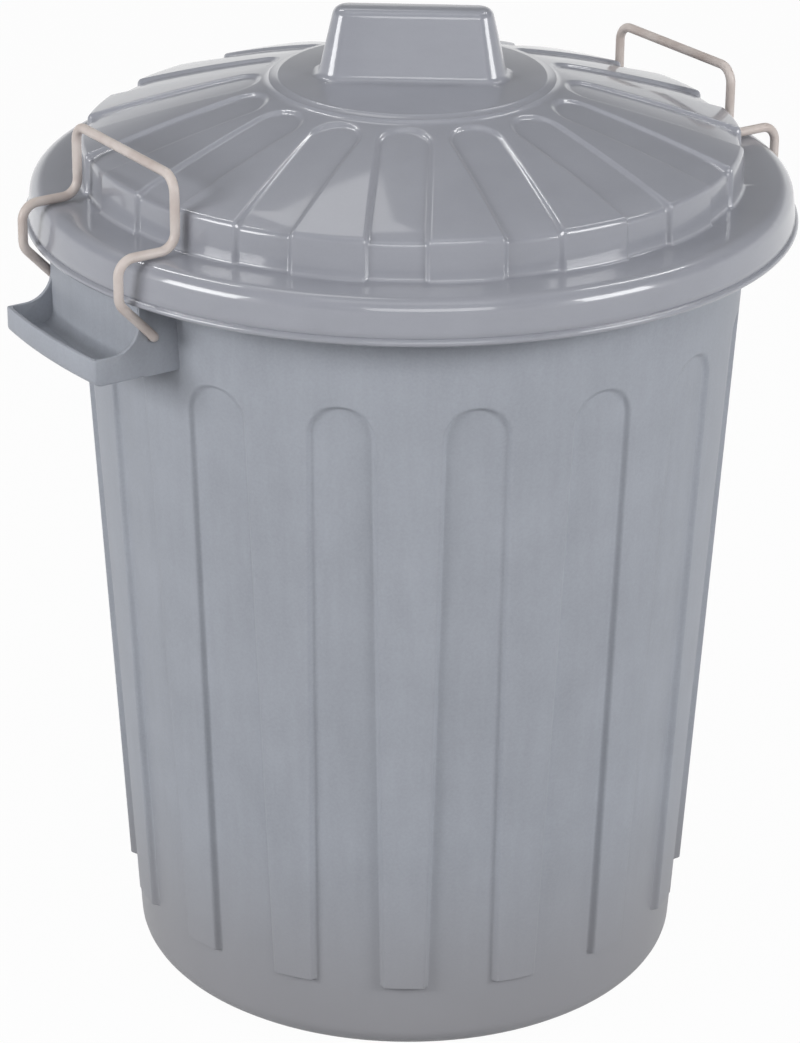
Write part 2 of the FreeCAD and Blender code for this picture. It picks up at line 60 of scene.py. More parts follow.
class Flow(Enum):
    """Which way the plastic ran in the mould, with how close its marks lie along each axis."""

    UPWARDS = (1.0, 1.0, 0.1)
    OUTWARDS = (0.35, 0.35, 1.0)


class Side(Enum):
    """Side of the bin, with its turn about the axis in degrees."""

    LEFT = 180.0
    RIGHT = 0.0


def linear(colour: Colour) -> tuple[float, ...]:
    """Linear red, green, blue and alpha, as a shader takes them, of a display colour from 0 to 255."""
    parts = [c / 255.0 for c in colour]
    return (*(c / 12.92 if c <= 0.04045 else ((c + 0.055) / 1.055) ** 2.4 for c in parts), 1.0)


def between(start: float, end: float, share: float) -> float:
    """Number that lies a share of the way from start to end."""
    return start + (end - start) * share


def span(start: float, end: float, count: int) -> list[float]:
    """Even numbers from start to end, both included, with so many steps between them."""
    return [start + (end - start) * step / count for step in range(count + 1)]


def arc(
    centre: Point, radius: float, start: float, end: float, count: int, rise: float | None = None,
) -> list[Point]:
    """Points on part of a circle or of an oval.

    Args:
        centre: centre of the circle.
        radius: its radius.
        start: first angle in degrees, 0 outwards and 90 up.
        end: last angle in degrees.
        count: how many steps lie between them.
        rise: its radius upwards, where that differs.

    Returns:
        The points in order.
    """
    tall = radius if rise is None else rise
    turns = [math.radians(angle) for angle in span(start, end, count)]
    return [(centre[0] + radius * math.cos(t), centre[1] + tall * math.sin(t)) for t in turns]


def soft_ramp(distance: float, width: float, softness: float) -> float:
    """Height of a sloping wall with rounded edges, from 0 at its foot to 1 at its top.

    Args:
        distance: how far past the wall's top, negative on the wall and below it.
        width: how wide the slope is.
        softness: over what width its two edges are rounded.

    Returns:
        A share from 0 to 1.
    """
    half = softness / 2.0
    sides = (width + half, width - half, half, -half)
    foot, foot_end, top, top_end = (max(distance + side, 0.0) ** 2 for side in sides)
    return (foot - foot_end - (top - top_end)) / (2.0 * width * softness)


def unfluted(path: list[Point]) -> list[Row]:
    """Rows of a stretch that is the same at lands and flutes."""
    return [(point, point) for point in path]


def whole(mesh: BMesh) -> list[BMVert | BMEdge | BMFace]:
    """All that is in a mesh, as its operators take it."""
    return mesh.verts[:] + mesh.edges[:] + mesh.faces[:]


def close_up(mesh: BMesh) -> None:
    """Join the corners that meet and turn all faces outwards."""
    bmesh.ops.remove_doubles(mesh, verts=mesh.verts[:], dist=MEETING)
    bmesh.ops.recalc_face_normals(mesh, faces=mesh.faces[:])


def draw_path(mesh: BMesh, places: list[Vector]) -> tuple[list[BMVert], list[BMEdge]]:
    """Draw a line of edges through places and give its corners and edges."""
    verts = [mesh.verts.new(place) for place in places]
    return verts, [mesh.edges.new(pair) for pair in zip(verts, verts[1:])]


def draw_on(mesh: BMesh, edges: list[BMEdge], move: Vector) -> tuple[list[BMVert], list[BMEdge]]:
    """Draw edges straight on into faces.

    Args:
        mesh: mesh to change.
        edges: edges at the end so far.
        move: how far to draw them.

    Returns:
        Corners and edges at the new end.
    """
    made = bmesh.ops.extrude_edge_only(mesh, edges=edges)["geom"]
    verts = [item for item in made if isinstance(item, BMVert)]
    bmesh.ops.translate(mesh, verts=verts, vec=move)
    return verts, [item for item in made if isinstance(item, BMEdge)]


def show(name: str, data: bpy.types.ID) -> bpy.types.Object:
    """Put a mesh, a camera or a lamp into the scene.

    Args:
        name: name of the object.
        data: what it shows.

    Returns:
        The object, at the origin.
    """
    shown = bpy.data.objects.new(name, data)
    bpy.context.scene.collection.objects.link(shown)
    return shown


def feed(tree: NodeTree, node: Node, inputs: Inputs) -> None:
    """Link sockets to a node's inputs, or set plain values there.

    Args:
        tree: nodes that it belongs to.
        node: the node.
        inputs: for each input a socket or a plain value.
    """
    for name, source in inputs.items():
        if isinstance(source, NodeSocket):
            tree.links.new(source, node.inputs[name])
        else:
            node.inputs[name].default_value = source


def add_node(tree: NodeTree, kind: str, inputs: Inputs, **settings: str | NodeTree) -> Node:
    """Add a shader node.

    Args:
        tree: nodes of a material, a group or the world.
        kind: kind of shader node.
        inputs: for each input a socket or a plain value.
        settings: the node's own settings.

    Returns:
        The node.
    """
    node = tree.nodes.new("ShaderNode" + kind)
    for name, value in settings.items():
        setattr(node, name, value)
    feed(tree, node, inputs)
    return node


def remap(
    tree: NodeTree, value: NodeSocket, zone: Point = (0.0, 1.0), ends: Point = (0.0, 1.0),
    curve: str = "LINEAR",
) -> NodeSocket:
    """Carry a value from one range over to another.

    Args:
        tree: nodes that take the step.
        value: the value.
        zone: range that it is taken from.
        ends: what it becomes at the two ends of that range and past them.
        curve: way from one end to the other.

    Returns:
        The socket with the new value.
    """
    return add_node(tree, "MapRange", {
        "Value": value, "From Min": zone[0], "From Max": zone[1], "To Min": ends[0], "To Max": ends[1],
    }, interpolation_type=curve).outputs["Result"]


@dataclass(frozen=True)
class Flutes:
    """Even ring of flutes, and the mesh columns that follow their edges."""

    edge_zone: Point
    count: int = 16
    floor_columns: int = 6
    wall_columns: int = 8
    land_columns: int = 4

    @property
    def half_pitch(self) -> float:
        """Angle from the middle of a flute to the middle of a land."""
        return math.pi / self.count

    @property
    def half_columns(self) -> int:
        """Columns from the middle of a flute to the middle of a land."""
        return self.floor_columns + self.wall_columns + self.land_columns

    def close_columns(self, half: float, radius: float) -> Point:
        """Angles between which columns lie close, for a flute's half width at a distance from the axis."""
        return (half + self.edge_zone[0]) / radius, (half + self.edge_zone[1]) / radius

    def follow(self, angle: float, wall_start: float, wall_end: float) -> float:
        """Move an evenly spaced column to where it follows the flute's edge.

        Args:
            angle: angle of the even column from the middle of its flute.
            wall_start: angle at which the close columns of the wall start.
            wall_end: angle at which they end.

        Returns:
            The angle of the column from the middle of its flute.
        """
        column = abs(angle) / self.half_pitch * self.half_columns
        on_wall = column - self.floor_columns
        on_land = on_wall - self.wall_columns
        if on_wall <= 0:
            placed = wall_start * column / self.floor_columns
        elif on_land <= 0:
            placed = between(wall_start, wall_end, on_wall / self.wall_columns)
        else:
            placed = between(wall_end, self.half_pitch, on_land / self.land_columns)
        return math.copysign(placed, angle)


def turn_fluted(shell: "Tub | Lid") -> BMesh:
    """Turn an outline about the bin's axis, with a flute in each part of the ring.

    Args:
        shell: tub or lid, which knows its outline and its flutes' edges.

    Returns:
        Mesh of the whole ring.
    """
    rows, flutes = shell.outline(), shell.flutes
    mesh = bmesh.new()
    row_of = mesh.verts.layers.int.new("row")
    start = Matrix.Rotation(-flutes.half_pitch, 3, "Z")
    verts, edges = draw_path(mesh, [start @ Vector((land[0], 0.0, land[1])) for land, _ in rows])
    for index, vert in enumerate(verts):
        vert[row_of] = index
    bmesh.ops.spin(mesh, geom=verts + edges, axis=UP, angle=2 * flutes.half_pitch,
                   steps=2 * flutes.half_columns)
    for vert in mesh.verts:
        land, floor = rows[vert[row_of]]
        angle = flutes.follow(math.atan2(vert.co.y, vert.co.x), *shell.close_columns(land))
        share = shell.land_share(land, angle) if land != floor else 1.0
        radius = between(floor[0], land[0], share)
        height = between(floor[1], land[1], share)
        vert.co = (radius * math.cos(angle), radius * math.sin(angle), height)
    bmesh.ops.spin(mesh, geom=whole(mesh), axis=UP, use_duplicate=True,
                   angle=math.tau - 2 * flutes.half_pitch, steps=flutes.count - 1)
    close_up(mesh)
    return mesh


def moulded_grain() -> NodeTree:
    """Shared grain of moulded plastic: flecks, mottling and flow marks.

    Returns:
        The node group, built at the first call.
    """
    name = "moulded_grain"
    if name in bpy.data.node_groups:
        return bpy.data.node_groups[name]
    group = bpy.data.node_groups.new(name, "ShaderNodeTree")
    sockets = {
        "INPUT": {"Place": "Vector", "Run": "Vector", "Colour": "Color", "Roughness": "Float",
                  "Fleck": "Float", "Mottle": "Float", "Streak": "Float"},
        "OUTPUT": {"Colour": "Color", "Roughness": "Float", "Height": "Float"},
    }
    for way, kinds in sockets.items():
        for socket, kind in kinds.items():
            group.interface.new_socket(socket, in_out=way, socket_type="NodeSocket" + kind)
    given = group.nodes.new("NodeGroupInput").outputs
    result = group.nodes.new("NodeGroupOutput")

    def noise(scale: float, detail: float, place: NodeSocket) -> NodeSocket:
        """Noise from nought to one, at so many features to the metre and so many octaves."""
        texture = add_node(group, "TexNoise", {"Vector": place, "Scale": scale, "Detail": detail})
        return texture.outputs["Fac"]

    def step(kind: str, *sources: NodeSocket | float) -> NodeSocket:
        """Sum, product or other simple step."""
        return add_node(group, "Math", dict(enumerate(sources)), operation=kind).outputs[0]

    run = add_node(group, "VectorMath", {0: given["Place"], 1: given["Run"]}, operation="MULTIPLY")
    marks = {
        "Fleck": noise(620.0, 2.0, given["Place"]),
        "Mottle": noise(26.0, 4.0, given["Place"]),
        "Streak": noise(150.0, 4.0, run.outputs["Vector"]),
    }
    change = 0.0
    for mark, value in marks.items():
        change = step("MULTIPLY_ADD", step("SUBTRACT", value, 0.5), given[mark], change)
    brightness = step("MULTIPLY_ADD", change, 2.0, 1.0)
    tint = add_node(group, "VectorMath", {0: given["Colour"], "Scale": brightness}, operation="SCALE")
    feed(group, result, {
        "Colour": tint.outputs["Vector"],
        "Roughness": step("MULTIPLY_ADD", change, 0.8, given["Roughness"]),
        "Height": step("MULTIPLY_ADD", marks["Fleck"], 0.6, step("MULTIPLY", marks["Streak"], 0.4)),
    })
    return group


@dataclass(frozen=True)
class PlasticFinish:
    """Grey moulded plastic with fine flecks and faint flow marks, and painted shade at the foot where
    given.
    """

    name: str
    colour: Colour
    roughness: float
    flow: Flow
    fleck: float = 0.08
    mottle: float = 0.10
    streak: float = 0.06
    peel: float = 0.06
    peel_depth: float = 0.0006
    sheen: float = 0.15
    gloss: float = 0.0
    gloss_roughness: float = 0.07
    # Painted shade: a darker colour and the height band over which the tub is darkened towards its foot,
    # where less light falls.
    painted_foot_shade: Colour | None = None
    painted_shade_zone: Point = (0.0, 0.16)

    def material(self) -> Material:
        """Build the finish.

        Returns:
            The material.
        """
        material = bpy.data.materials.new(self.name)
        material.use_nodes = True
        tree = material.node_tree
        place = add_node(tree, "TexCoord", {}).outputs["Object"]
        grain = add_node(tree, "Group", {
            "Place": place, "Run": self.flow.value, "Colour": linear(self.colour),
            "Roughness": self.roughness, "Fleck": self.fleck, "Mottle": self.mottle, "Streak": self.streak,
        }, node_tree=moulded_grain()).outputs
        colour = grain["Colour"]
        # Painted shade: blend towards a darker colour near the foot, in place of the dimmer light low down.
        if self.painted_foot_shade:
            height = add_node(tree, "SeparateXYZ", {"Vector": place}).outputs["Z"]
            share = remap(tree, height, self.painted_shade_zone, curve="SMOOTHSTEP")
            colour = add_node(tree, "Mix", {
                "Factor": share, "A": linear(self.painted_foot_shade), "B": colour,
            }, data_type="RGBA").outputs["Result"]
        shader = tree.nodes["Principled BSDF"]
        feed(tree, shader, {
            "Base Color": colour, "Roughness": grain["Roughness"], "IOR": PLASTIC_IOR,
            "Specular IOR Level": self.sheen, "Coat Weight": self.gloss,
            "Coat Roughness": self.gloss_roughness,
        })
        if self.peel:
            bump = add_node(tree, "Bump", {
                "Strength": self.peel, "Distance": self.peel_depth, "Height": grain["Height"],
            })
            feed(tree, shader, {"Normal": bump.outputs["Normal"]})
        return material


@dataclass(frozen=True)
class WireFinish:
    """Smooth beige coating on bent wire, a little uneven and dusty."""

    name: str
    colour: Colour
    shade: Colour
    roughness: Point = (0.34, 0.52)
    cloud_scale: float = 55.0
    cloud_detail: float = 5.0
    cloud_zone: Point = (0.32, 0.6)
    pit_scale: float = 900.0
    pit_strength: float = 0.08
    pit_depth: float = 0.0004

    def material(self) -> Material:
        """Build the finish.

        Returns:
            The material.
        """
        material = bpy.data.materials.new(self.name)
        material.use_nodes = True
        tree = material.node_tree
        place = add_node(tree, "TexCoord", {}).outputs["Object"]
        cloud = add_node(tree, "TexNoise", {
            "Vector": place, "Scale": self.cloud_scale, "Detail": self.cloud_detail,
        }).outputs["Fac"]
        tone = add_node(tree, "Mix", {
            "Factor": remap(tree, cloud, self.cloud_zone),
            "A": linear(self.shade), "B": linear(self.colour),
        }, data_type="RGBA")
        pits = add_node(tree, "TexNoise", {"Vector": place, "Scale": self.pit_scale})
        bump = add_node(tree, "Bump", {
            "Strength": self.pit_strength, "Distance": self.pit_depth, "Height": pits.outputs["Fac"],
        })
        feed(tree, tree.nodes["Principled BSDF"], {
            "Base Color": tone.outputs["Result"], "Roughness": remap(tree, cloud, ends=self.roughness),
            "IOR": PLASTIC_IOR, "Normal": bump.outputs["Normal"],
        })
        return material


def finish_piece(
    name: str, mesh: BMesh, body: str, material: Material,
    node: str | None = None, crease: float = 40.0, turn: float = 0.0,
) -> None:
    """Turn a mesh in millimetres into a placed, dressed piece.

    Args:
        name: name of the piece.
        mesh: its mesh, freed here.
        body: body that it moves with.
        material: its finish.
        node: solid that it stands for, if any.
        crease: edges sharper than this many degrees stay sharp.
        turn: turn about the bin's axis, in degrees.
    """
    bmesh.ops.rotate(mesh, verts=mesh.verts[:], cent=(0, 0, 0),
                     matrix=Matrix.Rotation(math.radians(turn), 3, "Z"))
    bmesh.ops.scale(mesh, verts=mesh.verts[:], vec=(MM, MM, MM))
    data = bpy.data.meshes.new(name)
    mesh.to_mesh(data)
    mesh.free()
    data.polygons.foreach_set("use_smooth", [True] * len(data.polygons))
    data.set_sharp_from_angle(angle=math.radians(crease))
    data.materials.append(material)
    piece = show(name, data)
    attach(piece, body)
    if node:
        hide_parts(node)
    LOG.info("%s: %d faces", name, len(data.polygons))


@dataclass
class Tub:
    """Tapered tub with arch-topped flutes, a turned-down rim and two handles."""

    finish: PlasticFinish
    flutes: Flutes = Flutes(edge_zone=(-4.8, 1.3))
    foot_radius: float = 174.1
    taper: float = 3.13
    height: float = 504.0
    wall: float = 2.0
    base_corner: float = 15.0
    base_recess: float = 6.0
    base_split: float = 70.0
    floor_inset: float = 14.0
    standing_ring: float = 12.0
    ring_edge: Point = (1.5, 0.6)
    recess_slope: float = 8.0
    flute_foot: float = 47.6
    flute_apex: float = 432.0
    foot_width: float = 45.2
    top_width: float = 39.6
    foot_depth: float = 4.4
    top_depth: float = 2.6
    flute_wall: float = 2.0
    edge_softness: float = 1.1
    step_width: float = 0.8
    step_softness: float = 1.4
    flange_width: float = 20.8
    flange_split: float = 6.0
    mouth_round: float = 1.0
    rim_wall: float = 2.5
    rim_drop: float = 20.0
    rim_corner: float = 6.0
    rim_inner_corner: float = 4.5
    rim_root: Point = (2.4, 2.6)

    @property
    def taper_rate(self) -> float:
        """How much the wall widens for each step up."""
        return math.tan(math.radians(self.taper))

    @property
    def arch_height(self) -> float:
        """Height of the arches' centres."""
        return self.flute_apex - self.top_width / 2

    @property
    def rim_radius(self) -> float:
        """Outer radius of the rim."""
        return self.land_radius(self.height) + self.flange_width

    def land_radius(self, height: float) -> float:
        """Radius of the lands between the flutes at a height."""
        return self.foot_radius + height * self.taper_rate

    def floor_radius(self, height: float) -> float:
        """Radius of the flutes' floors at a height."""
        share = (height - self.flute_foot) / (self.flute_apex - self.flute_foot)
        return self.land_radius(height) - between(self.foot_depth, self.top_depth, share)

    def half_width(self, height: float) -> float:
        """Half the width of a flute at a height, taken at its foot below it and at its arch above it."""
        share = (height - self.flute_foot) / (self.arch_height - self.flute_foot)
        return between(self.foot_width, self.top_width, min(max(share, 0.0), 1.0)) / 2

    def land_share(self, point: Point, angle: float) -> float:
        """How far the wall stands out at a place.

        Args:
            point: place on a land, as radius and height.
            angle: angle from the middle of the nearest flute.

        Returns:
            0 on a flute's floor and on the base band, 1 on a land.
        """
        height = point[1]
        across = abs(angle) * self.land_radius(height)
        outside = math.hypot(across, max(height - self.arch_height, 0.0)) - self.half_width(height)
        step = soft_ramp(height - self.flute_foot, self.step_width, self.step_softness)
        return soft_ramp(outside, self.flute_wall, self.edge_softness) * step

    def close_columns(self, point: Point) -> Point:
        """First and last angle, from the middle of a flute, of the columns that follow its edge."""
        height = min(max(point[1], self.flute_foot), self.arch_height)
        return self.flutes.close_columns(self.half_width(height), self.land_radius(height))

    def fluted(self, heights: list[float], inset: float) -> list[Row]:
        """Rows of the wall at some heights, so far inside its outer face, at lands and floors."""
        return [((self.land_radius(z) - inset, z), (self.floor_radius(z) - inset, z)) for z in heights]

    def outer_heights(self) -> list[float]:
        """Heights of the outer face's rows, close together at the lands' feet and at the arches.

        Returns:
            Heights from the base to below the rim.
        """
        foot, arch, apex = self.flute_foot, self.arch_height, self.flute_apex
        band = [22.0, 32.0, 42.0]
        step = span(foot - 1.8, foot + 1.8, 9) + [foot + 5]
        straight = span(80.0, arch - 25, 6)
        arches = span(arch - 8, apex - 9, 14) + span(apex - 8.3, apex + 1.3, 15)
        collar = [apex + 3, 445.0, 470.0, self.height - 6]
        return band + step + straight + arches + collar

    def inner_heights(self) -> list[float]:
        """Heights of the inner face's rows, which only need the lands' and arches' general form.

        Returns:
            Heights from the base to below the rim.
        """
        foot, arch, apex = self.flute_foot, self.arch_height, self.flute_apex
        step = span(foot - 1.5, foot + 1.5, 4)
        straight = span(80.0, arch - 20, 4)
        arches = span(arch - 6, apex + 3, 12)
        return [22.0, 38.0] + step + straight + arches + [455.0, self.height - 8]

    def outline(self) -> list[Row]:
        """Closed outline of the shell from the inside of the base to its underside.

        Returns:
            Rows at the lands and at the flutes' floors.
        """
        inner = self.fluted(self.inner_heights(), self.wall)
        low, low_height = inner[0][1]
        floor = self.base_recess + self.wall
        bend = low_height - floor
        ring = self.floor_radius(0.0) - self.base_corner
        inside = [(0.0, floor), (self.base_split, floor), (ring - self.floor_inset, floor)]
        inside += arc((low - bend, low_height), bend, -90, -12, 6)

        outer = self.fluted(self.outer_heights()[::-1], 0.0)
        top, rim, corner = self.height, self.rim_radius, self.rim_corner
        mouth, lip = self.land_radius(top) - self.wall, self.mouth_round
        edge = arc((mouth + lip, top - lip), lip, 180, 90, 3) + [(mouth + self.flange_split, top)]
        edge += arc((rim - corner, top - corner), corner, 90, 0, 7)
        nib = self.rim_wall / 2
        edge += arc((rim - nib, top - self.rim_drop + nib), nib, 0, -180, 6)
        under, bend = top - self.rim_wall, self.rim_inner_corner
        edge += arc((rim - self.rim_wall - bend, under - bend), bend, 0, 90, 5)
        out, down = self.rim_root
        edge += arc((outer[0][0][0] + down, under - down), out, 90, 165, 4, rise=down)

        corner = self.base_corner
        base = arc((ring, corner), self.floor_radius(corner) - ring, 0, -90, 8, rise=corner)
        back, (flat, bevel) = ring - self.standing_ring, self.ring_edge
        base += [(back + flat, 0.0), (back - bevel, bevel), (back - self.recess_slope, self.base_recess)]
        base += [(self.base_split, self.base_recess), (0.0, self.base_recess)]
        return unfluted(inside) + inner + unfluted(edge) + outer + unfluted(base)

    def build(self) -> None:
        """Make the shell and both handles."""
        material = self.finish.material()
        mesh = turn_fluted(self)
        finish_piece("tub_shell", mesh, "tub", material, node="tub")
        for side in Side:
            Handle(self, side).build(material)


@dataclass
class Handle:
    """Moulded handle: two side plates, a gutter between them and the wall behind it."""

    tub: Tub
    side: Side
    width: float = 104.4
    foot: float = 436.0
    top: float = 452.0
    reach: float = 248.36
    bow: float = 3.0
    half_steps: int = 6
    sweep: float = 17.0
    wall: float = 2.5
    corner: float = 1.6
    foot_bend: float = 4.5
    floor_gap: float = 1.0
    floor_split: float = 232.0
    floor_bend: float = 6.0
    edge: float = 0.5
    sharp: float = 50.0
    plate_sink: float = 0.5
    pivot: Point = PIVOT
    hole: float = 3.2
    hole_pad: float = 4.6
    wall_lift: float = 0.3
    wall_spread: float = 32.0
    wall_steps: int = 32

    @property
    def half(self) -> float:
        """Half the width over the plates."""
        return self.width / 2

    @property
    def back(self) -> float:
        """How far out the gutter's floor starts, just outside the inner wall's face."""
        return self.tub.rim_radius + self.floor_gap

    @property
    def plate_reach(self) -> float:
        """How far out the plates go below the rim."""
        return math.sqrt(self.tub.rim_radius ** 2 - self.half ** 2)

    @property
    def pivot_place(self) -> Vector:
        """Middle of the pivot hole on the plate's outer face."""
        return Vector((self.pivot[0], self.half, self.pivot[1]))

    def plate_root(self, height: float) -> float:
        """How far out a plate's root is at a height, inside the tub's wall."""
        return math.sqrt(self.tub.land_radius(height) ** 2 - self.half ** 2) - self.tub.wall / 2

    def front_section(self) -> list[Point]:
        """Gutter's floor and front, from behind the inner wall's face to the upper edge."""
        curve = arc((self.reach - self.foot_bend, self.foot + self.foot_bend), self.foot_bend, -90, 0, 8)
        return [(self.back, self.foot), (self.floor_split, self.foot)] + curve + [(self.reach, self.top)]

    def plate_edge(self) -> list[Point]:
        """Upper edge of a side plate, from the gutter's front back to the rim."""
        edge = arc((self.plate_reach + self.sweep, self.top + self.sweep), self.sweep, 270, 180, 12)
        return edge + [(self.plate_reach, self.tub.height - self.tub.rim_corner)]

    def gutter(self, mesh: BMesh) -> list[BMVert]:
        """Draw the gutter's floor and front from the middle plane to the plate, a little bowed.

        Args:
            mesh: mesh of half the handle.

        Returns:
            The corners at the plate, from the back of the floor to the upper edge.
        """
        verts, edges = draw_path(mesh, [Vector((x, 0.0, z)) for x, z in self.front_section()])
        for _ in range(self.half_steps):
            verts, edges = draw_on(mesh, edges, Vector((0.0, self.half / self.half_steps, 0.0)))
        back = self.back
        for vert in mesh.verts:
            share = (vert.co.x - back) / (self.reach - back)
            behind = back - math.sqrt(back ** 2 - vert.co.y ** 2)
            vert.co.x -= between(behind, self.bow * (vert.co.y / self.half) ** 2, share)
        return sorted(verts, key=lambda vert: vert.co.x + vert.co.z)

    def plate(self, mesh: BMesh, border: list[BMVert]) -> None:
        """Fill a side plate and leave its pivot hole open.

        Args:
            mesh: mesh of half the handle.
            border: corners that it shares with the gutter.
        """

        def corner(across: float, height: float) -> BMVert:
            """Corner on the plate's outer face."""
            return mesh.verts.new((across, self.half, height))

        pivot, pad_half = self.pivot_place, self.hole_pad
        under = self.tub.height - self.tub.rim_wall + self.plate_sink
        heights = (self.foot, pivot.z - pad_half, pivot.z + pad_half, under)
        inner = [corner(pivot.x - pad_half, height) for height in heights]
        outer = [corner(pivot.x + pad_half, height) for height in heights]
        edge = [corner(x, z) for x, z in self.plate_edge()]
        root = [corner(self.plate_root(height), height) for height in (under, self.foot)]
        mesh.faces.new(root + inner)
        mesh.faces.new(outer[:1] + border + edge + outer[:0:-1])
        cells = [mesh.faces.new((inner[i], outer[i], outer[i + 1], inner[i + 1])) for i in range(3)]
        bmesh.ops.subdivide_edges(mesh, edges=cells[1].edges[:], cuts=3)
        pad = min(mesh.faces, key=lambda face: (face.calc_center_median() - pivot).length)
        bmesh.ops.inset_individual(mesh, faces=[pad], thickness=1.0)
        for vert in pad.verts:
            vert.co = pivot + (vert.co - pivot).normalized() * self.hole
        bmesh.ops.delete(mesh, geom=[pad], context="FACES_ONLY")

    def shell(self) -> BMesh:
        """Plates, front and floor with their wall thickness and rounded edges.

        Returns:
            The mesh.
        """
        mesh = bmesh.new()
        self.plate(mesh, self.gutter(mesh))
        bmesh.ops.mirror(mesh, geom=whole(mesh), axis="Y", merge_dist=MEETING)
        close_up(mesh)
        self.round_edges(mesh, self.corner, 4)
        bmesh.ops.solidify(mesh, geom=mesh.faces[:], thickness=self.wall)
        bmesh.ops.recalc_face_normals(mesh, faces=mesh.faces[:])
        self.round_edges(mesh, self.edge, 2)
        return mesh

    def round_edges(self, mesh: BMesh, width: float, segments: int) -> None:
        """Round all sharp edges of a mesh by a width, in so many segments."""
        edges = [edge for edge in mesh.edges if edge.calc_face_angle(0.0) > math.radians(self.sharp)]
        bmesh.ops.bevel(mesh, geom=edges, offset=width, offset_type="OFFSET", affect="EDGES",
                        segments=segments, profile=0.5, material=-1, clamp_overlap=False)

    def inner_wall(self) -> BMesh:
        """Curved wall behind the gutter, which carries the rim's edge down and bends into the floor.

        Returns:
            The mesh.
        """
        mesh = bmesh.new()
        out, bend = self.tub.rim_radius, self.floor_bend
        back, low = out - self.wall, self.foot + self.wall_lift
        top = self.tub.height - self.tub.rim_corner
        section = [(back, low), (back, top), (out, top)]
        section += arc((out + bend, self.foot + self.wall + bend), bend, 180, 262, 7)
        section += [(out + bend, low), (back, low)]
        spread = math.radians(self.wall_spread)
        turned = Matrix.Rotation(-spread / 2, 3, "Z")
        verts, edges = draw_path(mesh, [turned @ Vector((x, 0.0, z)) for x, z in section])
        bmesh.ops.spin(mesh, geom=verts + edges, axis=UP, angle=spread, steps=self.wall_steps)
        bmesh.ops.remove_doubles(mesh, verts=mesh.verts[:], dist=MEETING)
        for way in (-1.0, 1.0):
            bmesh.ops.bisect_plane(
                mesh, geom=whole(mesh), clear_outer=True,
                plane_co=(0.0, way * (self.half - self.wall / 2), 0.0), plane_no=(0.0, way, 0.0),
            )
        bmesh.ops.holes_fill(mesh, edges=[edge for edge in mesh.edges if edge.is_boundary], sides=0)
        bmesh.ops.recalc_face_normals(mesh, faces=mesh.faces[:])
        return mesh

    def build(self, material: Material) -> None:
        """Make the handle's two pieces.

        Args:
            material: the tub's finish.
        """
        name = self.side.name.lower()
        finish_piece(name + "_handle", self.shell(), "tub", material,
                     crease=30.0, turn=self.side.value)
        finish_piece(name + "_handle_wall", self.inner_wall(), "tub", material,
                     turn=self.side.value)


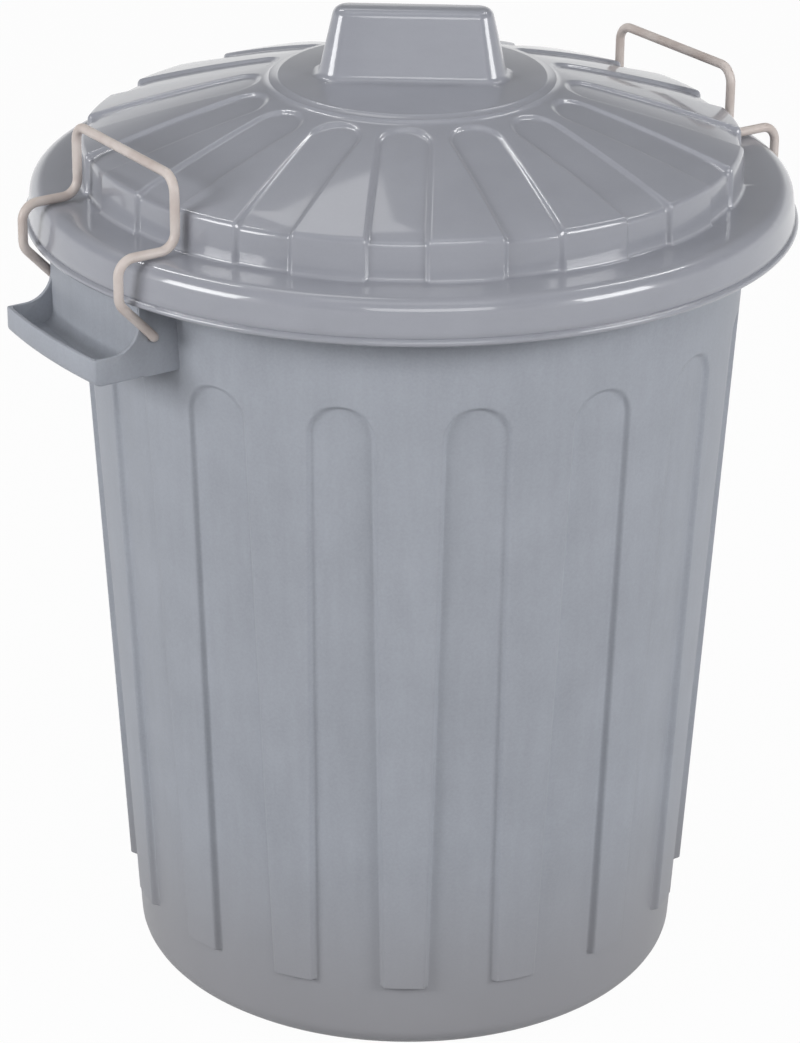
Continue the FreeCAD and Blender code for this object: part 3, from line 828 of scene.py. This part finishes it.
@dataclass
class Lid:
    """Lid with a deep rim, a fluted dome, a raised disc and a block grip."""

    finish: PlasticFinish
    flutes: Flutes = Flutes(edge_zone=(-2.8, 2.4))
    turn: float = -35.95
    wall: float = 2.3
    seat: float = 504.0
    lip_foot: float = 481.4
    lip_height: float = 3.6
    lip_radius: float = 229.9
    lip_bevel: Point = (0.6, 0.8)
    lip_crease: tuple[Point, ...] = ((-0.5, 4.0), (-0.15, 1.0), (-0.55, 0.35))
    band_foot: float = 228.16
    band_top: float = 226.46
    band_corner: float = 9.0
    flange_split: float = 205.0
    crest_run: float = 4.0
    skirt: float = 196.66
    skirt_bend: float = 2.2
    skirt_rows: tuple[Point, ...] = ((0.25, 14.0), (-0.2, 6.0))
    shoulder_radius: float = 195.96
    shoulder: float = 530.0
    shoulder_bend: float = 4.0
    dome_inner: float = 85.0
    dome_top: float = 561.7
    bulge: float = 1.6
    disc: float = 79.5
    disc_height: float = 565.0
    disc_split: float = 40.0
    disc_round: float = 1.7
    disc_inset: float = 0.9
    hollow: float = 5.4
    hollow_centre: Point = (4.2, 4.6)
    flute_depth: float = 2.4
    flute_reach: float = 91.0
    inner_width: float = 30.0
    outer_width: float = 33.6
    wall_width: float = 1.3
    edge_softness: float = 2.2
    arch_depth: float = 1.8

    @property
    def flange(self) -> float:
        """Height of the flat ring round the skirt."""
        return self.seat + self.wall

    @property
    def arch_radius(self) -> float:
        """Distance of the arches' centres from the axis."""
        return self.flute_reach + self.inner_width / 2

    def half_width(self, radius: float) -> float:
        """Half the width of a flute at a distance from the axis."""
        share = max(radius - self.arch_radius, 0.0) / (self.skirt + self.flute_depth - self.arch_radius)
        return between(self.inner_width, self.outer_width, share) / 2

    def close_columns(self, point: Point) -> Point:
        """First and last angle, from the middle of a flute, of the columns that follow its edge."""
        radius = max(point[0], self.arch_radius)
        return self.flutes.close_columns(self.half_width(radius), radius)

    def land_share(self, point: Point, angle: float) -> float:
        """How far the surface stands out of the flutes at a place.

        Args:
            point: place on a land, as radius and height.
            angle: angle from the middle of the nearest flute.

        Returns:
            0 on a flute's floor, 1 on a land.
        """
        along = point[0] * math.cos(angle)
        across = point[0] * math.sin(abs(angle))
        outside = math.hypot(across, min(along - self.arch_radius, 0.0)) - self.half_width(along)
        return soft_ramp(outside - self.wall_width / 2, self.wall_width, self.edge_softness)

    def depth_share(self, radius: float) -> float:
        """Share of a flute's full depth, which lessens towards its arch."""
        share = max(radius - self.flute_reach, 0.0) / (self.shoulder_radius - self.flute_reach)
        return between(self.arch_depth, self.flute_depth, min(share, 1.0)) / self.flute_depth

    def dome_height(self, radius: float, sunk: float) -> float:
        """Height of the dome, which bulges a little, at a distance from the axis and sunk so deep."""
        share = (radius - self.dome_inner) / (self.shoulder_radius - self.dome_inner)
        return (between(self.dome_top, self.shoulder, share) + self.bulge * 4 * share * (1 - share)
                - sunk * self.depth_share(radius))

    def top_outline(self, sunk: float) -> list[Point]:
        """Outside from the disc's step to the foot of the skirt.

        Args:
            sunk: how deep it lies, nought for the lands.

        Returns:
            Points as radius and height.
        """
        arches = span(self.flute_reach - 2.0, self.arch_radius + 3.0, 22)
        dome = span(self.arch_radius + 10.0, self.shoulder_radius - 10, 7)
        path = [(r, self.dome_height(r, sunk)) for r in [self.dome_inner + 3.4] + arches + dome]
        run = self.shoulder_radius - self.dome_inner
        lean = math.atan((self.dome_top - self.shoulder + 4 * self.bulge) / run)
        edge, tip, bend = self.shoulder_radius - sunk, self.shoulder - sunk, self.shoulder_bend
        back = bend * math.tan((math.pi / 2 - lean) / 2)
        centre = (edge - bend, tip + back * math.sin(lean) - bend * math.cos(lean))
        path += arc(centre, bend, 90 - math.degrees(lean), 0, 7)
        foot, bend = self.skirt - sunk, self.skirt_bend
        path += [(side + out, self.flange + up) for side, (out, up) in zip((edge, foot), self.skirt_rows)]
        return path + arc((foot + bend, self.flange + bend), bend, 180, 270, 5)

    def under_outline(self, sunk: float) -> list[Point]:
        """Inside from the seat on the rim to the disc.

        Args:
            sunk: how deep the outside lies here, nought for the lands.

        Returns:
            Points as radius and height.
        """
        edge, tip = self.shoulder_radius - sunk - self.wall, self.shoulder - sunk
        path = [(self.skirt - sunk - self.wall, self.seat)]
        path += [(edge + 0.2, tip - 9.0), (edge - 2.0, tip - self.wall)]
        dome = span(self.shoulder_radius - 18, self.arch_radius + 6.0, 5)
        arches = span(self.arch_radius + 3.0, self.flute_reach - 3.5, 12)
        return path + [(r, self.dome_height(r, sunk) - self.wall) for r in dome + arches]

    def outline(self) -> list[Row]:
        """Closed outline of the shell from the disc's top to its underside.

        Returns:
            Rows at the lands and at the flutes' floors.
        """
        top, bend = self.disc_height, self.disc_round
        head = [(0.0, top), (self.disc_split, top)]
        head += arc((self.disc - self.disc_inset, top - bend), bend, 90, 38, 5)
        out, over = self.hollow_centre
        head += arc((self.dome_inner + out, self.dome_top + over), self.hollow, 212, 255, 5)

        corner = self.band_corner
        crest, band_height = self.band_top - corner, self.flange - corner
        lip_top, bead = self.lip_foot + self.lip_height, self.lip_height / 2
        rim = [(self.flange_split, self.flange), (crest - self.crest_run, self.flange)]
        rim += arc((crest, band_height), corner, 90, 8, 9)
        rim += [(self.band_foot + out, lip_top + over) for out, over in self.lip_crease]
        rim += arc((self.lip_radius - bead, lip_top - bead), bead, 80, -90, 8)
        back, (across, over) = self.band_foot - self.wall, self.lip_bevel
        rim += [(back + across, self.lip_foot), (back, self.lip_foot + over)]
        rim += [(self.band_top - self.wall, band_height)]
        rim += arc((crest, band_height), corner - self.wall, 12, 90, 5)
        rim += [(self.flange_split, self.seat)]

        under = top - self.wall
        tail = [(self.disc - self.wall, under), (self.disc_split, under), (0.0, under)]
        upper = list(zip(self.top_outline(0.0), self.top_outline(self.flute_depth)))
        lower = list(zip(self.under_outline(0.0), self.under_outline(self.flute_depth)))
        return unfluted(head) + upper + unfluted(rim) + lower + unfluted(tail)

    def build(self) -> None:
        """Make the lid."""
        mesh = turn_fluted(self)
        Grip(foot=self.disc_height).add_to(mesh)
        finish_piece("lid_shell", mesh, "lid", self.finish.material(), node="lid",
                     turn=self.turn)


@dataclass
class Grip:
    """Tapered block on the lid's disc, with rounded edges and a flared foot."""

    foot: float
    length: float = 111.0
    thickness: float = 38.0
    height: float = 40.6
    draft: float = 13.0
    sunk: float = 0.4
    foot_flare: float = 3.4
    foot_corner: float = 14.0
    top_corner: float = 9.2
    top_round: float = 4.5
    segments: int = 48

    def ring(self, mesh: BMesh, height: float, spread: float) -> list[BMEdge]:
        """Rounded rectangle at a height.

        Args:
            mesh: mesh that takes it.
            height: height above the disc.
            spread: how far it stands out of the drafted sides.

        Returns:
            Its edges.
        """
        drawn_in = height * math.tan(math.radians(self.draft))
        corner = between(self.foot_corner, self.top_corner, height / self.height) + spread
        flats = [size / 2 - drawn_in + spread - corner for size in (self.length, self.thickness)]
        verts = bmesh.ops.create_circle(mesh, radius=1.0, segments=self.segments)["verts"]
        for vert in verts:
            angle = math.atan2(vert.co.y, vert.co.x) + math.pi / self.segments
            ways = (math.cos(angle), math.sin(angle))
            vert.co.xy = [math.copysign(flat, way) + corner * way for flat, way in zip(flats, ways)]
            vert.co.z = self.foot + height
        return list({edge for vert in verts for edge in vert.link_edges})

    def levels(self) -> list[Point]:
        """Heights of the rings from foot to top, each with how far it stands out."""
        low = [(-self.sunk, self.foot_flare)] + arc((self.foot_flare,) * 2, self.foot_flare, 180, 270, 5)
        return low + arc((self.height - self.top_round, -self.top_round), self.top_round, 90, 6, 6)

    def add_to(self, mesh: BMesh) -> None:
        """Build the block on the lid's mesh.

        Args:
            mesh: the lid's mesh.
        """
        rings = [self.ring(mesh, height, spread) for height, spread in self.levels()]
        faces = []
        for lower, upper in zip(rings, rings[1:]):
            faces += bmesh.ops.bridge_loops(mesh, edges=lower + upper)["faces"]
        for end in (rings[0], rings[-1]):
            faces += bmesh.ops.contextual_create(mesh, geom=end)["faces"]
        bmesh.ops.recalc_face_normals(mesh, faces=faces)


@dataclass
class Clamp:
    """Bent wire clamp that hooks over the lid's rim and swings in the handle's plates."""

    side: Side
    wire: float = 5.6
    pivot: Point = PIVOT
    half_span: float = 56.0
    pin: float = 12.0
    outer: float = 231.0
    low: float = 484.0
    over: float = 509.7
    inner: float = 194.4
    top: float = 551.7
    bend: float = 10.0
    pivot_bend: float = 3.4
    bend_step: float = 9.0
    segments: int = 24

    def corners(self) -> list[Vector]:
        """Corners of the wire's centre line from pin to pin.

        Returns:
            The corners in order.
        """
        bends = [self.pivot, (self.outer, self.low), (self.outer, self.over),
                 (self.inner, self.over), (self.inner, self.top)]
        leg = [Vector((out, self.half_span, height)) for out, height in bends]
        leg.insert(0, leg[0] - Vector((0.0, self.pin, 0.0)))
        return leg + [Vector((x, -y, z)) for x, y, z in reversed(leg)]

    def wire_mesh(self) -> BMesh:
        """Draw a round section along the runs and turn it round the bends.

        Returns:
            The mesh.
        """
        mesh = bmesh.new()
        corners = self.corners()
        here = corners[0]
        heading = (corners[1] - here).normalized()
        place = Matrix.Translation(here) @ heading.to_track_quat("Z", "Y").to_matrix().to_4x4()
        made = bmesh.ops.create_circle(mesh, cap_ends=True, radius=self.wire / 2,
                                       segments=self.segments, matrix=place)
        edges = list({edge for vert in made["verts"] for edge in vert.link_edges})
        for index in range(1, len(corners) - 1):
            corner = corners[index]
            ahead = (corners[index + 1] - corner).normalized()
            turn = heading.angle(ahead)
            radius = self.pivot_bend if index in (1, len(corners) - 2) else self.bend
            reach = radius * math.tan(turn / 2)
            _, edges = draw_on(mesh, edges, corner - heading * reach - here)
            axis = heading.cross(ahead).normalized()
            centre = corner - heading * reach + axis.cross(heading) * radius
            verts = list({vert for edge in edges for vert in edge.verts})
            spun = bmesh.ops.spin(mesh, geom=verts + edges, cent=centre, axis=axis, angle=turn,
                                  steps=max(3, round(math.degrees(turn) / self.bend_step)))
            edges = [item for item in spun["geom_last"] if isinstance(item, BMEdge)]
            here = corner + ahead * reach
            heading = ahead
        _, edges = draw_on(mesh, edges, corners[-1] - here)
        bmesh.ops.contextual_create(mesh, geom=edges)
        bmesh.ops.recalc_face_normals(mesh, faces=mesh.faces[:])
        return mesh

    def build(self, material: Material) -> None:
        """Make the clamp in a finish."""
        name = self.side.name.lower()
        finish_piece(name + "_clamp_wire", self.wire_mesh(), name + "_clamp", material,
                     node=name + "_clamp", turn=self.side.value)


@dataclass(frozen=True)
class Viewpoint:
    """Camera where the photographer stood, with its bearing in degrees and its small turns in radians."""

    distance: float = 2.02108
    height: float = 1.17548
    bearing: float = -33.75
    pitch: float = 0.4183
    yaw: float = -0.0026
    roll: float = 0.0082
    lens: float = 123.09
    sensor: float = 36.0

    def build(self) -> None:
        """Place the camera and make it the scene's."""
        data = bpy.data.cameras.new("camera")
        data.lens = self.lens
        data.sensor_width = self.sensor
        camera = show("camera", data)
        camera.matrix_world = (
            Matrix.Rotation(math.radians(self.bearing), 4, "Z")
            @ Matrix.Translation((0.0, -self.distance, self.height))
            @ Matrix.Rotation(-self.yaw, 4, "Z")
            @ Matrix.Rotation(math.pi / 2 - self.pitch, 4, "X")
            @ Matrix.Rotation(self.roll, 4, "Z")
        )
        bpy.context.scene.camera = camera


@dataclass(frozen=True)
class Lamp:
    """Soft box that faces a point on the bin's axis.

    The turn is to the right of the camera's bearing, and the tilt runs from 90 in front over 0 above to
    -90 behind.
    """

    name: str
    turn: float
    tilt: float
    distance: float
    size: Point
    power: float
    aim: float = 0.4

    def build(self, bearing: float) -> None:
        """Hang the lamp.

        Args:
            bearing: bearing of the camera in degrees.
        """
        data = bpy.data.lights.new(self.name, "AREA")
        data.shape = "RECTANGLE"
        data.size, data.size_y = self.size
        data.energy = self.power
        lamp = show(self.name, data)
        lamp.matrix_world = (
            Matrix.Translation(UP * self.aim)
            @ Matrix.Rotation(math.radians(bearing + self.turn), 4, "Z")
            @ Matrix.Rotation(math.radians(self.tilt), 4, "X")
            @ Matrix.Translation(UP * self.distance)
        )


@dataclass(frozen=True)
class Studio:
    """Pale floor and even white light."""

    bearing: float
    floor_size: float = 24.0
    floor_colour: Colour = (186, 186, 188)
    floor_roughness: float = 0.9
    glow: float = 0.97
    sky: float = 0.15
    sky_colour: Colour = (255, 255, 255)
    horizon: Point = (0.14, 0.34)
    lamps: tuple[Lamp, ...] = (
        Lamp("left_lamp", -61.0, 71.0, 2.8, (1.2, 1.0), 47.0),
        Lamp("right_lamp", 60.0, 71.0, 2.8, (1.1, 1.0), 41.0),
        Lamp("front_lamp", 6.0, 58.0, 2.8, (1.6, 0.9), 21.0),
        Lamp("ceiling_lamp", 0.0, 14.0, 2.2, (1.3, 0.8), 3.0),
        Lamp("left_top_lamp", -124.0, 34.0, 2.3, (0.15, 0.7), 6.0),
        Lamp("right_top_lamp", 122.0, 34.0, 2.3, (0.15, 0.7), 5.5),
        Lamp("back_lamp", 17.0, -28.5, 2.6, (0.62, 0.7), 2.6),
    )

    @staticmethod
    def seen(tree: NodeTree) -> NodeSocket:
        """Tell rays that show the background, straight, mirrored or through glass, from those that light.

        Args:
            tree: nodes of a material or of the world.

        Returns:
            The socket with 1 for the rays that show it and 0 for the others.
        """
        rays = add_node(tree, "LightPath", {}).outputs
        shown = rays["Is Camera Ray"]
        for kind in ("Is Glossy Ray", "Is Transmission Ray"):
            shown = add_node(tree, "Math", {0: shown, 1: rays[kind]}, operation="MAXIMUM").outputs[0]
        return shown

    def floor(self) -> None:
        """Lay the floor."""
        mesh = bmesh.new()
        bmesh.ops.create_grid(mesh, x_segments=1, y_segments=1, size=self.floor_size / 2)
        data = bpy.data.meshes.new("floor")
        mesh.to_mesh(data)
        mesh.free()
        material = bpy.data.materials.new("pale_floor")
        material.use_nodes = True
        tree = material.node_tree
        shader = tree.nodes["Principled BSDF"]
        feed(tree, shader, {
            "Base Color": linear(self.floor_colour), "Roughness": self.floor_roughness,
            "Specular IOR Level": 0.0,
        })
        glow = add_node(tree, "Emission", {})
        share = add_node(tree, "Math", {0: self.seen(tree), 1: self.glow}, operation="MULTIPLY")
        mix = add_node(tree, "MixShader", {
            "Fac": share.outputs[0], 1: shader.outputs["BSDF"], 2: glow.outputs["Emission"],
        })
        feed(tree, tree.nodes["Material Output"], {"Surface": mix.outputs["Shader"]})
        data.materials.append(material)
        plane = show("floor", data)

    def sky_light(self) -> None:
        """Even white light from all round, with a horizon that shows as white as the floor."""
        world = bpy.data.worlds.new("white_room")
        world.use_nodes = True
        tree = world.node_tree
        place = add_node(tree, "TexCoord", {}).outputs["Generated"]
        height = add_node(tree, "SeparateXYZ", {"Vector": place}).outputs["Z"]
        fade = remap(tree, height, self.horizon, (self.glow - self.sky, 0.0), "SMOOTHSTEP")
        level = add_node(tree, "Math", {0: self.seen(tree), 1: fade, 2: self.sky}, operation="MULTIPLY_ADD")
        feed(tree, tree.nodes["Background"], {
            "Color": linear(self.sky_colour), "Strength": level.outputs[0],
        })
        bpy.context.scene.world = world

    def build(self) -> None:
        """Set up floor, sky and lamps."""
        self.floor()
        self.sky_light()
        for lamp in self.lamps:
            lamp.build(self.bearing)
        bpy.context.scene.view_settings.view_transform = "Standard"


def main() -> None:
    """Build the bin, its camera and its light."""
    logging.basicConfig(level=logging.INFO, format="%(name)s: %(message)s")
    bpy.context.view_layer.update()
    viewpoint = Viewpoint()
    viewpoint.build()
    # The tub's foot colour is painted shade, darker towards the floor.
    tub_plastic = PlasticFinish("tub_plastic", (156, 160, 168), 0.45, Flow.UPWARDS,
                                painted_foot_shade=(147, 147, 151))
    Tub(tub_plastic).build()
    lid_plastic = PlasticFinish("lid_plastic", (144, 146, 154), 0.3, Flow.OUTWARDS, fleck=0.02,
                                mottle=0.06, streak=0.04, peel=0.0, sheen=0.27, gloss=0.8)
    Lid(lid_plastic).build()
    coating = WireFinish("beige_coating", (198, 189, 184), (182, 170, 164)).material()
    for side in Side:
        Clamp(side).build(coating)
    Studio(viewpoint.bearing).build()
    bpy.context.view_layer.update()


if __name__ == "__main__":
    main()
